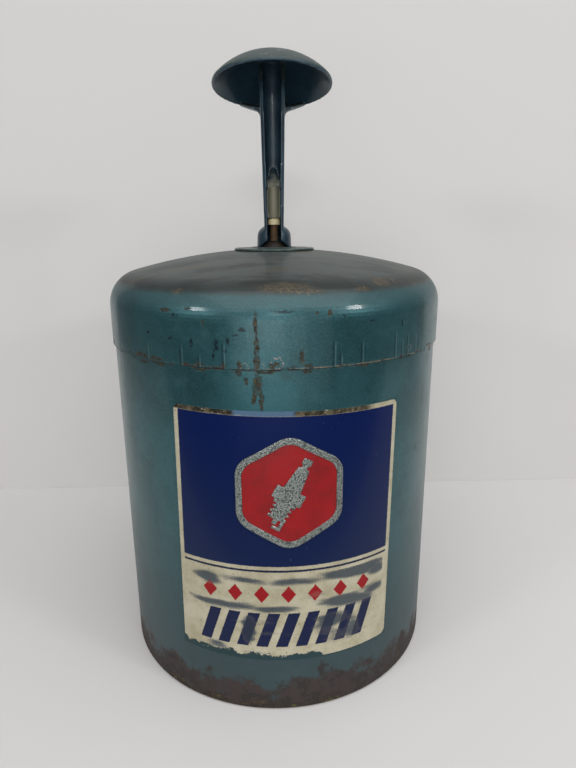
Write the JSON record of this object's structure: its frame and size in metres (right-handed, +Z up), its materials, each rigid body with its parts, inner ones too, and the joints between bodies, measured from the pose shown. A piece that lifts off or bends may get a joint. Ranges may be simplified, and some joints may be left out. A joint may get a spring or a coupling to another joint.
{
  "type": "spark plug cleaner",
  "caption": "Bench air-blast cleaner for spark plugs: steel drum of abrasive, domed lift-off lid with a palm-pressed air valve and a rubber plug port over a suction blast gun.",
  "frame": {"origin": "centre of the drum's bottom edge, on the bench", "axes": "+Z up through the drum, the push rod and the handle; the label side faces -Y, and the plug port is at +Y"},
  "size_m": [0.2572, 0.2572, 0.4626],
  "materials": {
    "teal_enamel": "metallic teal enamel, worn and rust-specked",
    "flange_enamel": "dark green-grey, oily",
    "handle_enamel": "dark blue-grey enamel over a cast body, worn on the palm",
    "plated_steel": "dull zinc plate",
    "rusty_steel": "surface rust",
    "cast_alloy": "sand cast and turned",
    "brass": "turned, dull",
    "copper": "drawn copper pipe, dull",
    "rubber": "moulded, matt",
    "collar_plastic": "aged cream",
    "felt": "wool felt"
  },
  "bodies": {
    "drum": {"drum_shell": "teal_enamel", "drum_base": "plated_steel", "hopper_ring": "plated_steel", "hopper_cone": "plated_steel", "sump_cup": "plated_steel", "sump_rivets": "plated_steel", "lid_gasket": "rubber", "vent_felt": "felt", "vent_retainer": "plated_steel"},
    "lid": {"lid": "teal_enamel", "lid_seat_ring": "plated_steel", "top_flange": "flange_enamel", "flange_nut": "cast_alloy", "rod_boot": "rubber", "valve_body": "brass", "valve_screws": "plated_steel", "valve_cap": "brass", "rod_seal": "rubber", "valve_spring": "plated_steel", "air_inlet": "brass", "inlet_locknut": "plated_steel", "inlet_pipe": "copper", "blast_pipe": "copper", "plug_adapter": "rubber", "adapter_ring": "plated_steel", "adapter_screws": "plated_steel", "adapter_nuts": "plated_steel", "gun_body": "cast_alloy", "blast_nozzle": "plated_steel", "mixing_block": "cast_alloy", "air_jet": "brass", "suction_tube": "plated_steel"},
    "handle": {"handle": "handle_enamel", "push_rod": "rusty_steel", "rod_collar": "collar_plastic", "set_screw": "plated_steel", "valve_poppet": "brass", "poppet_seal": "rubber", "rod_nut": "plated_steel"}
  },
  "joints": [
    {"name": "lid_lift", "type": "slide", "parent": "drum", "child": "lid", "axis": [0, 0, 1], "range_m": [0, 0.252]},
    {"name": "handle_press", "type": "slide", "parent": "lid", "child": "handle", "axis": [0, 0, -1], "range_m": [0, 0.009], "stiffness_N_per_m": 2000, "springref_m": -0.006, "deforming": ["valve_spring"]}
  ]
}
